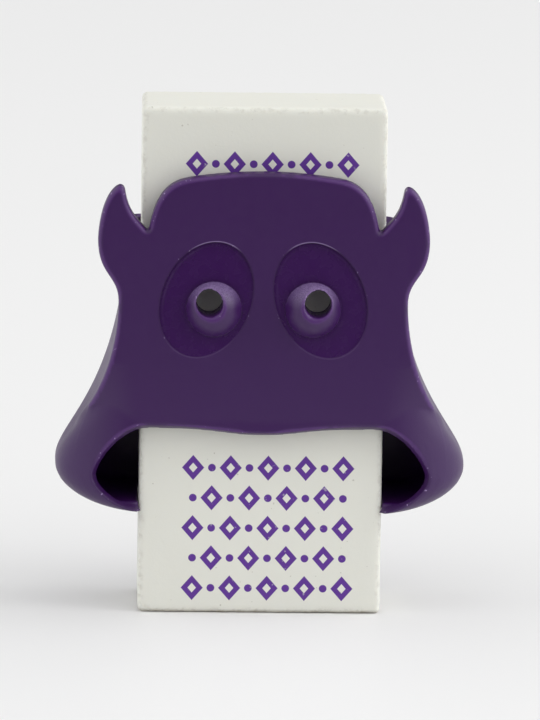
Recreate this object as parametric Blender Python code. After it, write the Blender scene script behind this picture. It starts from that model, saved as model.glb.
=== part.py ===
"""Block eraser standing on end in a slide-on holder shaped as a horned monster's head.

Metres, +Z up, the face looks towards -Y. The origin is the centre of the block's lower end.
The holder is one moulding: a thin sleeve that grips the block, cheeks that swell out and
curl in under the open mouth, and a mask plate with two horns on the front.
"""

import math

import bmesh
import bpy
from mathutils import Matrix, Vector

MM = 0.001

# Eraser block
BLOCK_WIDTH = 28.5 * MM
BLOCK_DEPTH = 13.0 * MM
BLOCK_HEIGHT = 60.0 * MM
BLOCK_EDGE_RADIUS = 0.5 * MM
WHITE_VINYL = (0.80, 0.79, 0.75)
PURPLE_PLASTIC = (0.055, 0.016, 0.12)

# Sleeve. Every height on the holder is measured up from its lower rim.
REST_HEIGHT = 12.2 * MM
CLEARANCE = 0.3 * MM
WALL = 1.4 * MM
FLOOR_THICKNESS = 1.1 * MM
SLEEVE_HEIGHT = 32.9 * MM
SLEEVE_CORNER = 1.9 * MM
INNER_CORNER = 0.5 * MM

# Cheeks: how far they swell past the sleeve and tuck in again below
CHEEK_HEIGHT = 4.85 * MM
CHEEK_SWELL = 8.2 * MM
CHEEK_TUCK = 8.6 * MM
FRONT_SWELL = 1.7 * MM
FRONT_TUCK = 2.2 * MM
BACK_SWELL = 0.8 * MM
STRAIGHT_RUN = 21.0 * MM
CHEEK_ROUND = 4.0 * MM
FRONT_CORNER = Vector((12.0, 8.5)) * MM
BACK_CORNER = Vector((9.0, 7.5)) * MM
RIM_CORNER = 3.0 * MM

# Mask plate. Sideways places are measured from the sleeve's side, outwards positive.
MASK_PROUD = 0.8 * MM
MASK_BACK_STEP = 0.1 * MM
MASK_EDGE_RADIUS = 0.45 * MM
CROWN_HEIGHT = 40.5 * MM
BROW = Vector((-7.45, 39.8)) * MM
NOTCH = Vector((-2.5, 33.4)) * MM
HORN_TIP_INNER = Vector((0.25, 38.3)) * MM
HORN_TIP_OUTER = Vector((1.15, 38.75)) * MM
HORN_BULGE = Vector((3.3, 32.5)) * MM
WAIST = Vector((0.85, 25.2)) * MM
JOWL = Vector((5.35, 11.0)) * MM
JOWL_FADE = Vector((1.0, -3.2)) * MM
ROLL_START = -1.95 * MM
ROLL_HEIGHT = 17.9 * MM
ROLL_DEPTH = 7.0 * MM

# Lengths of the handles that bend the outline between those places
CROWN_HANDLES = (2.0 * MM, 3.4 * MM)
BROW_HANDLES = (1.5 * MM, 5.8 * MM)
HORN_HOLLOW_HANDLES = (1.8 * MM, 2.8 * MM)
HORN_OUTER_HANDLES = (2.3 * MM, 0.7 * MM)
HORN_LOWER_HANDLES = (4.3 * MM, 3.1 * MM)
WAIST_HANDLES = (7.0 * MM, 4.6 * MM)
HORN_TIP_HANDLE = 0.5 * MM

# Directions of the outline, in degrees up from +X
CROWN_SLOPE = -9.5
BROW_SLOPE = -82.0
HORN_ROOT_SLOPE = 51.0
HORN_TIP_SLOPE = 82.0
HORN_BACK_SLOPE = -33.0
JOWL_SLOPE = -52.5

# Eyes: a shallow dish, a round eyeball standing in it and a pupil bored through
SOCKET_CENTRE = Vector((6.6, 25.65)) * MM
SOCKET_LENGTH = 13.9 * MM
SOCKET_WIDTH = 10.3 * MM
SOCKET_LEAN = 21.6
SOCKET_DEPTH_INNER = 0.2 * MM
SOCKET_DEPTH_OUTER = 1.0 * MM
EYEBALL_CENTRE = Vector((5.7, 24.55)) * MM
EYEBALL_RADIUS = 3.35 * MM
EYEBALL_SUNK = 0.8 * MM
PUPIL_CENTRE = Vector((6.2, 25.9)) * MM
PUPIL_DIAMETER = 3.1 * MM
PUPIL_LEAD_IN = 0.4 * MM
PUPIL_FLARE = 1.2 * MM

# Mouth, as its edge shows from the front. Corner places start from the block's side.
LIP_CENTRE_HEIGHT = 8.95 * MM
LIP_HEIGHT = 9.7 * MM
LIP_HANDLES = (4.0 * MM, 7.5 * MM)
LIP_END = -1.45 * MM
CORNER_WIDTH = 5.05 * MM
CORNER_HEIGHT = 4.35 * MM
CORNER_HANDLES = (3.2 * MM, 1.2 * MM)
CHIN_HEIGHT = 0.55 * MM
CHIN_OUTSET = 0.15 * MM
CHIN_HANDLES = (1.5 * MM, 2.0 * MM)
CHIN_SLOPE = -165.0
MOUTH_DRAFT = 0.45

# How finely curved stretches are cut
SIDE_STEPS = 16
CURL_STEPS = 7
CORNER_STEPS = 7
OUTLINE_STEPS = 8
EDGE_STEPS = 3
ROLL_STEPS = 4
ROUND_STEPS = 40
OVERSHOOT = 2.0 * MM
SHARP_ANGLE = 35
ROUND_PROFILE = 0.5
WIDTH_EASE = 1.5
DEPTH_EASE = 3

SIDE = BLOCK_WIDTH / 2 + CLEARANCE + WALL
FRONT = BLOCK_DEPTH / 2 + CLEARANCE + WALL
MASK_FRONT = FRONT + MASK_PROUD
MASK_BACK = BLOCK_DEPTH / 2 + CLEARANCE + MASK_BACK_STEP


def clear_scene():
    """Remove every object that the file opened with."""
    for obj in list(bpy.data.objects):
        bpy.data.objects.remove(obj)


def make_material(name, colour, roughness):
    """A plain plastic or rubber finish."""
    material = bpy.data.materials.new(name)
    material.use_nodes = True
    shader = material.node_tree.nodes["Principled BSDF"]
    shader.inputs["Base Color"].default_value = (*colour, 1.0)
    shader.inputs["Roughness"].default_value = roughness
    shader.inputs["Metallic"].default_value = 0.0
    material.diffuse_color = (*colour, 1.0)
    return material


def add_object(name, bm, material=None, parent=None):
    """Turn a bmesh into a smooth-shaded object in the scene."""
    bmesh.ops.recalc_face_normals(bm, faces=bm.faces)
    mesh = bpy.data.meshes.new(name)
    bm.to_mesh(mesh)
    bm.free()
    mesh.shade_smooth()
    mesh.set_sharp_from_angle(angle=math.radians(SHARP_ANGLE))
    obj = bpy.data.objects.new(name, mesh)
    bpy.context.scene.collection.objects.link(obj)
    obj.parent = parent
    if material:
        mesh.materials.append(material)
    return obj


def add_tool(name, bm, holder):
    """A shape that only cuts or joins the holder, and travels with it."""
    tool = add_object(name, bm, parent=holder)
    tool.hide_render = True
    tool.display_type = 'WIRE'
    return tool


def apply_tool(holder, tool, operation):
    """Cut or join the holder with one of its tools."""
    modifier = holder.modifiers.new(tool.name, 'BOOLEAN')
    modifier.object = tool
    modifier.operation = operation
    modifier.solver = 'EXACT'


def heading(degrees):
    """Unit vector in the drawing plane, turned up from the first axis."""
    return Vector((math.cos(math.radians(degrees)), math.sin(math.radians(degrees))))


def bezier(start, start_handle, end_handle, end, steps):
    """Points along a cubic curve, without its first point."""
    points = []
    for step in range(1, steps + 1):
        t = step / steps
        near = (1 - t) ** 3 * start + 3 * t * (1 - t) ** 2 * start_handle
        far = 3 * t * t * (1 - t) * end_handle + t ** 3 * end
        points.append(near + far)
    return points


def mirrored(half):
    """Close a right half, drawn from the centre line and back to it, into a full loop."""
    left = [Vector((-point.x, point.y)) for point in reversed(half) if point.x > 0]
    return half + left


def grown(loop, distance):
    """Move each point of a clockwise loop outwards by a distance, square to the loop."""
    points = []
    for index, point in enumerate(loop):
        along = (loop[(index + 1) % len(loop)] - loop[index - 1]).normalized()
        points.append(point + Vector((-along.y, along.x)) * distance)
    return points


def loft(rings):
    """Skin a stack of equal rings of 3-D points and cap both ends."""
    bm = bmesh.new()
    levels = [[bm.verts.new(point) for point in ring] for ring in rings]
    for lower, upper in zip(levels, levels[1:]):
        for index in range(len(lower)):
            following = (index + 1) % len(lower)
            bm.faces.new((lower[index], lower[following], upper[following], upper[index]))
    bm.faces.new(levels[0])
    bm.faces.new(list(reversed(levels[-1])))
    return bm


def facing_ring(loop, y):
    """Stand a drawing of the front view upright at a depth."""
    return [Vector((point.x, y, point.y)) for point in loop]


def corner(centre, size, start_degrees):
    """A quarter of an ellipse about a centre, turning anticlockwise."""
    points = []
    for step in range(CORNER_STEPS + 1):
        turn = heading(start_degrees + 90 * step / CORNER_STEPS)
        points.append(Vector((centre.x + size.x * turn.x, centre.y + size.y * turn.y)))
    return points


def plan_section(half_width, front, back, front_corner, back_corner, height):
    """A level ring with elliptical corners, front at -Y."""
    right_back = Vector((half_width - back_corner.x, back - back_corner.y))
    right_front = Vector((half_width - front_corner.x, front_corner.y - front))
    left_back = Vector((-right_back.x, right_back.y))
    left_front = Vector((-right_front.x, right_front.y))
    loop = corner(right_back, back_corner, 0) + corner(left_back, back_corner, 90)
    loop += corner(left_front, front_corner, 180) + corner(right_front, front_corner, 270)
    return [Vector((point.x, point.y, height)) for point in loop]


def sleeve_section(height, swell, curl, inset):
    """The sleeve's section where it has swollen and curled by these shares of the whole."""
    spread = swell ** WIDTH_EASE
    plain = Vector((SLEEVE_CORNER, SLEEVE_CORNER))
    rim = Vector((RIM_CORNER, RIM_CORNER))
    front_corner = Vector((plain.x + (FRONT_CORNER.x - plain.x) * spread,
                           plain.y + (FRONT_CORNER.y - plain.y) * swell ** DEPTH_EASE))
    back_corner = plain.lerp(BACK_CORNER, spread)
    inner = Vector((inset, inset))
    corners = []
    for full in (front_corner, back_corner):
        size = full.lerp(rim, curl) - inner
        corners.append(Vector((max(size.x, INNER_CORNER), max(size.y, INNER_CORNER))))
    half_width = SIDE + CHEEK_SWELL * swell - (CHEEK_TUCK - inset) * curl - inset
    front = FRONT + FRONT_SWELL * spread - (FRONT_TUCK - inset) * curl - inset
    back = FRONT + BACK_SWELL * spread - (WALL - inset) * curl - inset
    return plan_section(half_width, front, back, corners[0], corners[1], height)


def sleeve_rings(inset, floor):
    """Rings of the sleeve from its top to its curled rim, moved in from the outer skin."""
    rings = []
    heights = bezier(SLEEVE_HEIGHT, SLEEVE_HEIGHT - STRAIGHT_RUN,
                     CHEEK_HEIGHT + CHEEK_ROUND, CHEEK_HEIGHT, SIDE_STEPS)
    for step, height in enumerate([SLEEVE_HEIGHT] + heights):
        t = step / SIDE_STEPS
        rings.append(sleeve_section(height, 3 * t ** 2 - 2 * t ** 3, 0, inset))
    for step in range(1, CURL_STEPS + 1):
        turn = heading(90 * step / CURL_STEPS)
        height = CHEEK_HEIGHT - (CHEEK_HEIGHT - floor) * turn.y
        rings.append(sleeve_section(height, 1, 1 - turn.x, inset))
    return rings


def cavity():
    """The hollow inside the sleeve and cheeks, open at the top."""
    rings = sleeve_rings(WALL, FLOOR_THICKNESS)
    above = [point + Vector((0, 0, OVERSHOOT)) for point in rings[0]]
    return loft([above] + rings)


def floor_slot():
    """The opening in the floor of the cheeks that the block passes through."""
    half_width = BLOCK_WIDTH / 2 + CLEARANCE
    half_depth = BLOCK_DEPTH / 2 + CLEARANCE
    round_off = Vector((INNER_CORNER, INNER_CORNER))
    rings = [plan_section(half_width, half_depth, half_depth, round_off, round_off, height)
             for height in (FLOOR_THICKNESS + OVERSHOOT, -OVERSHOOT)]
    return loft(rings)


def from_side(place):
    """A place on the mask, given from the sleeve's side, in the front view."""
    return Vector((SIDE + place.x, place.y))


def plate_outline():
    """Clockwise outline of the mask: crown, horns, waist and jowls."""
    crown = Vector((0, CROWN_HEIGHT))
    brow = from_side(BROW)
    notch = from_side(NOTCH)
    tip_inner = from_side(HORN_TIP_INNER)
    tip_outer = from_side(HORN_TIP_OUTER)
    bulge = from_side(HORN_BULGE)
    waist = from_side(WAIST)
    jowl = from_side(JOWL)
    foot = jowl + JOWL_FADE
    down = Vector((0, -1))
    half = [crown]
    half += bezier(crown, crown + Vector((CROWN_HANDLES[0], 0)),
                   brow - heading(CROWN_SLOPE) * CROWN_HANDLES[1], brow, OUTLINE_STEPS // 2)
    half += bezier(brow, brow + heading(CROWN_SLOPE) * BROW_HANDLES[0],
                   notch - heading(BROW_SLOPE) * BROW_HANDLES[1], notch, OUTLINE_STEPS)
    half += bezier(notch, notch + heading(HORN_ROOT_SLOPE) * HORN_HOLLOW_HANDLES[0],
                   tip_inner - heading(HORN_TIP_SLOPE) * HORN_HOLLOW_HANDLES[1], tip_inner,
                   OUTLINE_STEPS)
    half += bezier(tip_inner, tip_inner + heading(HORN_TIP_SLOPE) * HORN_TIP_HANDLE,
                   tip_outer - heading(HORN_BACK_SLOPE) * HORN_TIP_HANDLE, tip_outer,
                   OUTLINE_STEPS // 2)
    half += bezier(tip_outer, tip_outer + heading(HORN_BACK_SLOPE) * HORN_OUTER_HANDLES[0],
                   bulge - down * HORN_OUTER_HANDLES[1], bulge, OUTLINE_STEPS)
    half += bezier(bulge, bulge + down * HORN_LOWER_HANDLES[0],
                   waist - down * HORN_LOWER_HANDLES[1], waist, OUTLINE_STEPS)
    half += bezier(waist, waist + down * WAIST_HANDLES[0],
                   jowl - heading(JOWL_SLOPE) * WAIST_HANDLES[1], jowl, SIDE_STEPS)
    half += [foot, Vector((0, foot.y))]
    return mirrored(half)


def cut_across(bm, place, square_to):
    """Add edges where a plane passes through a mesh."""
    everything = bm.verts[:] + bm.edges[:] + bm.faces[:]
    bmesh.ops.bisect_plane(bm, geom=everything, plane_co=place, plane_no=square_to)


def roll_back_jowls(bm):
    """Bend the plate's two lower corners back to meet the cheeks."""
    foot = from_side(JOWL + JOWL_FADE)
    start = SIDE + ROLL_START
    reach = foot.x - start
    drop = ROLL_HEIGHT - foot.y
    for step in range(ROLL_STEPS + 1):
        share = step / ROLL_STEPS
        cut_across(bm, Vector((0, 0, ROLL_HEIGHT - drop * share)), Vector((0, 0, 1)))
        for side in (-1, 1):
            cut_across(bm, Vector((side * (start + reach * share), 0, 0)), Vector((1, 0, 0)))
    for vert in bm.verts:
        across = max(0, (abs(vert.co.x) - start) / reach)
        down = max(0, (ROLL_HEIGHT - vert.co.z) / drop)
        vert.co.y += ROLL_DEPTH * min(across, 1) ** 2 * min(down, 1)


def mask_plate():
    """The mask with its edges rounded and its lower corners rolled back."""
    outline = plate_outline()
    rings = [facing_ring(outline, -MASK_BACK)]
    for step in range(EDGE_STEPS + 1):
        turn = heading(90 * step / EDGE_STEPS)
        inset = MASK_EDGE_RADIUS * (1 - turn.x)
        y = MASK_FRONT - MASK_EDGE_RADIUS * (1 - turn.y)
        rings.append(facing_ring(grown(outline, -inset), -y))
    bm = loft(rings)
    roll_back_jowls(bm)
    return bm


def mouth_plug():
    """A drafted plug that opens the mouth, lip above and chin cut away below."""
    block_side = BLOCK_WIDTH / 2
    lip_centre = Vector((0, LIP_CENTRE_HEIGHT))
    lip_end = Vector((block_side + LIP_END, LIP_HEIGHT))
    corner_point = Vector((block_side + CORNER_WIDTH, CORNER_HEIGHT))
    chin = Vector((block_side + CHIN_OUTSET, CHIN_HEIGHT))
    below = Vector((chin.x - OVERSHOOT, -OVERSHOOT))
    half = [lip_centre]
    half += bezier(lip_centre, lip_centre + Vector((LIP_HANDLES[0], 0)),
                   lip_end - Vector((LIP_HANDLES[1], 0)), lip_end, OUTLINE_STEPS)
    half += bezier(lip_end, lip_end + Vector((CORNER_HANDLES[0], 0)),
                   corner_point + Vector((0, CORNER_HANDLES[1])), corner_point, OUTLINE_STEPS)
    half += bezier(corner_point, corner_point - Vector((0, CHIN_HANDLES[0])),
                   chin - heading(CHIN_SLOPE) * CHIN_HANDLES[1], chin, OUTLINE_STEPS)
    half += [below, Vector((0, below.y))]
    outline = mirrored(half)
    inner_face = BLOCK_DEPTH / 2 + CLEARANCE
    rings = []
    for y in (inner_face - CLEARANCE / 2, FRONT + FRONT_SWELL + OVERSHOOT):
        rings.append(facing_ring(grown(outline, MOUTH_DRAFT * (y - inner_face)), -y))
    return loft(rings)


def leaning_oval():
    """The outline of the right-hand socket, its long axis leaning towards the nose."""
    along = heading(90 + SOCKET_LEAN) * SOCKET_LENGTH / 2
    across = heading(SOCKET_LEAN) * SOCKET_WIDTH / 2
    loop = []
    for step in range(ROUND_STEPS):
        turn = heading(-360 * step / ROUND_STEPS)
        loop.append(SOCKET_CENTRE + across * turn.x + along * turn.y)
    return loop


def paired(shape):
    """Add the mirror image of a right-hand shape on the left."""
    everything = shape.verts[:] + shape.edges[:] + shape.faces[:]
    bmesh.ops.mirror(shape, geom=everything, matrix=Matrix.Identity(4), merge_dist=0, axis='X')
    return shape


def eye_sockets():
    """Two shallow dishes in the mask's face, whose floors rise towards the nose."""
    loop = leaning_oval()
    inner = min(point.x for point in loop)
    outer = max(point.x for point in loop)
    floor = []
    for point in loop:
        share = (point.x - inner) / (outer - inner)
        depth = SOCKET_DEPTH_INNER + (SOCKET_DEPTH_OUTER - SOCKET_DEPTH_INNER) * share
        floor.append(Vector((point.x, depth - MASK_FRONT, point.y)))
    return paired(loft([facing_ring(loop, -MASK_FRONT - OVERSHOOT), floor]))


def eyeballs():
    """Two balls half sunk in the mask."""
    ball = bmesh.new()
    bmesh.ops.create_uvsphere(ball, u_segments=ROUND_STEPS, v_segments=ROUND_STEPS // 2,
                              radius=EYEBALL_RADIUS)
    centre = Vector((EYEBALL_CENTRE.x, EYEBALL_SUNK - MASK_FRONT, EYEBALL_CENTRE.y))
    bmesh.ops.translate(ball, verts=ball.verts, vec=centre)
    return paired(ball)


def pupil_holes():
    """Two bores through the eyeballs to the block, each with a flared mouth."""
    radius = PUPIL_DIAMETER / 2
    offset = (PUPIL_CENTRE - EYEBALL_CENTRE).length
    mouth = MASK_FRONT - EYEBALL_SUNK + math.sqrt(EYEBALL_RADIUS ** 2 - offset ** 2)
    loop = []
    for step in range(ROUND_STEPS):
        loop.append(PUPIL_CENTRE + heading(-360 * step / ROUND_STEPS) * radius)
    stations = [(0.0, BLOCK_DEPTH / 2 + CLEARANCE / 2), (0.0, mouth - PUPIL_LEAD_IN)]
    stations += [(PUPIL_LEAD_IN, mouth), (PUPIL_FLARE, mouth + EYEBALL_RADIUS)]
    rings = [facing_ring(grown(loop, flare), -y) for flare, y in stations]
    return paired(loft(rings))


def build_block(rubber):
    """The eraser, a plain block with its edges just broken."""
    bm = bmesh.new()
    bmesh.ops.create_cube(bm, size=1.0)
    bmesh.ops.scale(bm, verts=bm.verts, vec=(BLOCK_WIDTH, BLOCK_DEPTH, BLOCK_HEIGHT))
    bmesh.ops.translate(bm, verts=bm.verts, vec=(0, 0, BLOCK_HEIGHT / 2))
    bmesh.ops.bevel(bm, geom=bm.edges, offset=BLOCK_EDGE_RADIUS, segments=EDGE_STEPS,
                    profile=ROUND_PROFILE, affect='EDGES')
    return add_object("eraser_block", bm, rubber)


def build_holder(plastic):
    """The one-piece head, drawn about the block's axis with its origin at the rim."""
    holder = add_object("monster_holder", loft(sleeve_rings(0, 0)), plastic)
    holder.location = (0, 0, REST_HEIGHT)
    steps = [
        ("mask_plate", mask_plate(), 'UNION'),
        ("eye_sockets", eye_sockets(), 'DIFFERENCE'),
        ("eyeballs", eyeballs(), 'UNION'),
        ("cavity", cavity(), 'DIFFERENCE'),
        ("floor_slot", floor_slot(), 'DIFFERENCE'),
        ("mouth_plug", mouth_plug(), 'DIFFERENCE'),
        ("pupil_holes", pupil_holes(), 'DIFFERENCE'),
    ]
    for name, shape, operation in steps:
        apply_tool(holder, add_tool(name, shape, holder), operation)
    holder.modifiers.new("even_shading", 'WEIGHTED_NORMAL').keep_sharp = True
    return holder


def main():
    """Build the block and the holder that slides on it."""
    clear_scene()
    build_block(make_material("white_vinyl", WHITE_VINYL, 0.6))
    build_holder(make_material("purple_plastic", PURPLE_PLASTIC, 0.5))


main()
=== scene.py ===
"""Looks of a block eraser standing in its monster-head holder.

Laid out as an add-on: each piece has an operator, and its sizes and colours are properties.
Lengths are in metres, +Z is up, and the mask looks towards -Y.
"""

import math

import bmesh
import bpy
import numpy as np
from mathutils import Matrix, Vector


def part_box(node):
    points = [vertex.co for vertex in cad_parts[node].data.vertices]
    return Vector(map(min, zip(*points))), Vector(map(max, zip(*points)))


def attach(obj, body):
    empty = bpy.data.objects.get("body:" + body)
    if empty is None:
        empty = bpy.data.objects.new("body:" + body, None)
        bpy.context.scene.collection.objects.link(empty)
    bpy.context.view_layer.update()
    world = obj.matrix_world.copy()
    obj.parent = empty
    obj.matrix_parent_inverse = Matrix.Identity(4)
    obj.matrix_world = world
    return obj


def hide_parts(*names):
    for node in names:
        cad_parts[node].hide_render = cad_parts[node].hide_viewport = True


bl_info = {
    "name": "Monster Head Eraser",
    "version": (1, 0, 0),
    "blender": (4, 5, 0),
    "location": "3D View > Sidebar > Eraser",
    "description": "Builds a white block eraser in a purple monster-head holder, with its stage",
    "category": "Add Mesh",
}

MM = 0.001
IMAGE_HEIGHT = 720
IMAGE_WIDTH = 540

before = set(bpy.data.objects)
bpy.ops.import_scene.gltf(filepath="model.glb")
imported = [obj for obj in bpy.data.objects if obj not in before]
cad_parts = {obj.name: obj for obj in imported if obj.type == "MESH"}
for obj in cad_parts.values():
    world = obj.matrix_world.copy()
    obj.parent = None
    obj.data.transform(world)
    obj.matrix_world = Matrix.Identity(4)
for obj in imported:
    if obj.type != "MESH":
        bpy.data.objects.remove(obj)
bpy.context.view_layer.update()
BLOCK_LOW, BLOCK_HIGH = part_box("eraser_block")
HOLDER_LOW, HOLDER_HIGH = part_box("monster_holder")
HALF_WIDTH = BLOCK_HIGH.x
HALF_DEPTH = BLOCK_HIGH.y
BLOCK_TOP = BLOCK_HIGH.z
RIM = HOLDER_LOW.z

# Sleeve and cheeks, with heights measured up from the holder's rim
CLEARANCE = 0.3 * MM
WALL = 1.4 * MM
FLOOR_THICKNESS = 1.1 * MM
SIDE = HALF_WIDTH + CLEARANCE + WALL
FRONT = HALF_DEPTH + CLEARANCE + WALL
SLEEVE_HEIGHT = 32.9 * MM
SLEEVE_CORNER = 1.9 * MM
INNER_CORNER = 0.5 * MM
CHEEK_HEIGHT = 4.85 * MM
CHEEK_SWELL = HOLDER_HIGH.x - SIDE
CHEEK_TUCK = 8.6 * MM
FRONT_SWELL = 1.7 * MM
FRONT_TUCK = 2.2 * MM
BACK_SWELL = 0.8 * MM
STRAIGHT_RUN = 21.0 * MM
CHEEK_ROUND = 4.0 * MM
FRONT_CORNER = Vector((12.0, 8.5)) * MM
BACK_CORNER = Vector((9.0, 7.5)) * MM
RIM_CORNER = 3.0 * MM
WIDTH_EASE = 1.5
DEPTH_EASE = 3

# Mask plate, with sideways places measured from the sleeve's side
MASK_BACK = HALF_DEPTH + CLEARANCE + 0.1 * MM
MASK_FRONT = FRONT + 0.8 * MM
MASK_EDGE_RADIUS = 0.45 * MM
CROWN_HEIGHT = HOLDER_HIGH.z - RIM
BROW = Vector((-7.45, 39.8)) * MM
NOTCH = Vector((-2.5, 33.4)) * MM
HORN_TIP_INNER = Vector((0.25, 38.3)) * MM
HORN_TIP_OUTER = Vector((1.15, 38.75)) * MM
HORN_BULGE = Vector((3.35, 32.5)) * MM
WAIST = Vector((0.9, 25.2)) * MM
JOWL = Vector((5.35, 11.0)) * MM
JOWL_FADE = Vector((1.0, -3.2)) * MM
CROWN_HANDLES = (2.0 * MM, 3.4 * MM)
BROW_HANDLES = (1.5 * MM, 5.8 * MM)
HORN_HOLLOW_HANDLES = (1.8 * MM, 2.8 * MM)
HORN_TIP_HANDLE = 0.5 * MM
HORN_OUTER_HANDLES = (2.3 * MM, 0.7 * MM)
HORN_LOWER_HANDLES = (4.3 * MM, 3.1 * MM)
WAIST_HANDLES = (5.0 * MM, 4.6 * MM)
CROWN_SLOPE = -9.5
BROW_SLOPE = -82.0
HORN_ROOT_SLOPE = 51.0
HORN_TIP_SLOPE = 82.0
HORN_BACK_SLOPE = -33.0
JOWL_SLOPE = -52.5
ROLL_START = -1.95 * MM
ROLL_HEIGHT = 17.9 * MM
ROLL_DEPTH = 7.0 * MM

# Eyes, drawn for the right-hand one
SOCKET_CENTRE = Vector((6.65, 25.6)) * MM
SOCKET_LENGTH = 14.1 * MM
SOCKET_WIDTH = 10.5 * MM
SOCKET_LEAN = 21.6
SOCKET_DEPTH = 0.32 * MM
SOCKET_SLOPE = 0.16
SOCKET_SHRINK = 0.02
SOCKET_FLOOR_TURN = 1.5
SOCKET_FLOOR_RISE = 2.0
EYEBALL_CENTRE = Vector((5.75, 24.5)) * MM
EYEBALL_RADIUS = 3.3 * MM
EYEBALL_SUNK = 0.55 * MM
PUPIL_CENTRE = Vector((6.3, 25.5)) * MM
PUPIL_RADIUS = 1.55 * MM
PUPIL_LIP = 0.4 * MM

# Mouth, drawn where it breaks through the inside of the wall
LIP_CENTRE_HEIGHT = 8.95 * MM
LIP_HEIGHT = 9.7 * MM
LIP_HANDLES = (4.0 * MM, 7.5 * MM)
LIP_END = -1.45 * MM
MOUTH_CORNER = Vector((5.05, 4.35)) * MM
CORNER_HANDLES = (3.2 * MM, 1.2 * MM)
CHIN = Vector((0.15, 0.55)) * MM
CHIN_HANDLES = (1.5 * MM, 2.0 * MM)
CHIN_SLOPE = -165.0
MOUTH_DRAFT = 0.45

# Crumbling along the block's edges, deeper in the torn spots
TORN_SPOTS = [Vector(place) * MM for place in (
    (12.8, 6.5, 60), (14.2, 6.5, 59.8), (-13.9, 6.5, 60), (-14.2, -6.5, 57.5), (-14.2, -6.5, 52),
    (-14.2, -6.5, 0.4), (14.2, -6.5, 0.6))]
TORN_REACH = 1.8 * MM
CRUMBLE_REACH = 1.1 * MM
CRUMBLE_ELSEWHERE = 0.3
CRUMB_WIDTH = 0.7 * MM
CRUMB_SWING = -7
CRUMB_LEVEL = 0.4

# Print on the block, with motifs measured from their middles and rows counted from the lowest
DIAMOND = Vector((1.3, 1.5)) * MM
DIAMOND_HOLLOW = Vector((0.5, 0.58)) * MM
DOT_RADII = (0.43 * MM, 0.48 * MM)
LOWER_ROWS = (0, 5)
UPPER_ROWS = (13, 15)
PRINT_REACH = 9.5 * MM
PRINT_STAGGER = 1.6 * MM

# Zones of the finished holder that are smoothed on their own
FACE_DEPTH = 1.0 * MM
EYE_REACH = 0.7 * SOCKET_LENGTH
JOWL_ZONE_TOP = JOWL.y + 1.5 * MM
JOWL_ZONE_START = 2.0 * MM
MOUTH_RIM_REACH = 6.7 * MM
WALL_FOOT = 3.0 * MM
WALL_TOP = SLEEVE_HEIGHT - 1.0 * MM

# Stretch of surface over which an edge's bend is measured
HOLDER_SPAN = 0.6 * MM
BLOCK_SPAN = 1.2 * MM

# Stage: two softboxes, with the right-hand one's place, and a table just below the block
SOFTBOX_SIZE = (0.6, 0.6)
SOFTBOX_PLACE = Vector((0.8, -0.1, 0.5))
TABLE_GAP = 0.02 * MM

# How far cutters reach past what they cut, and how finely curved stretches are drawn
OVERSHOOT = 2.0 * MM
LEVELS = 34
CURL_LEVELS = 14
CORNER_STEPS = 13
OUTLINE_STEPS = 16
EDGE_STEPS = 4
ROLL_STEPS = 10
ROUND_STEPS = 72


class HolderSizes(bpy.types.PropertyGroup):
    """Sizes of the holder's finish that are worth trying out."""

    grain: bpy.props.FloatProperty(
        name="Mesh Grain", description="Edge length of the finished surface's faces",
        default=0.155 * MM, min=0.05 * MM, unit='LENGTH', precision=5)
    slot_gap: bpy.props.FloatProperty(
        name="Slot Gap", description="Gap between the block and the slot in the cheeks' floor",
        default=0.03 * MM, unit='LENGTH', precision=5)
    softening: bpy.props.IntProperty(
        name="Softening", description="How often the whole surface is smoothed", default=3)
    face_softening: bpy.props.IntProperty(
        name="Face Softening", description="How often the mask's front and its edge are smoothed",
        default=8)
    jowl_softening: bpy.props.IntProperty(
        name="Jowl Softening", description="How often the mask's lower corners are smoothed",
        default=40)
    wall_softening: bpy.props.IntProperty(
        name="Wall Softening", description="How often the sleeve's sides and back are smoothed",
        default=30)
    triangles: bpy.props.IntProperty(
        name="Triangles", description="Most triangles that the finished holder may have",
        default=190000)


class BlockSizes(bpy.types.PropertyGroup):
    """Sizes of the block's edges and print."""

    edge: bpy.props.FloatProperty(
        name="Edge Radius", description="Radius on the block's edges",
        default=0.45 * MM, unit='LENGTH', precision=5)
    grain: bpy.props.FloatProperty(
        name="Mesh Grain", description="Edge length of the finished surface's faces",
        default=0.3 * MM, min=0.1 * MM, unit='LENGTH', precision=5)
    softening: bpy.props.IntProperty(
        name="Softening", description="How often the whole surface is smoothed", default=2)
    crumble: bpy.props.FloatProperty(
        name="Crumble", description="Depth of the nicks along the block's edges",
        default=0.16 * MM, unit='LENGTH', precision=5)
    motif_pitch: bpy.props.FloatProperty(
        name="Motif Pitch", description="Distance between printed motifs in a row",
        default=4.4 * MM, unit='LENGTH', precision=5)
    row_pitch: bpy.props.FloatProperty(
        name="Row Pitch", description="Distance between rows of printed motifs",
        default=3.6 * MM, unit='LENGTH', precision=5)
    print_foot: bpy.props.FloatProperty(
        name="Print Foot", description="Height of the lowest row's foot",
        default=1.2 * MM, unit='LENGTH', precision=5)
    print_shift: bpy.props.FloatProperty(
        name="Print Shift", description="How far right of the middle the print is centred",
        default=0.9 * MM, unit='LENGTH', precision=5)


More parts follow.
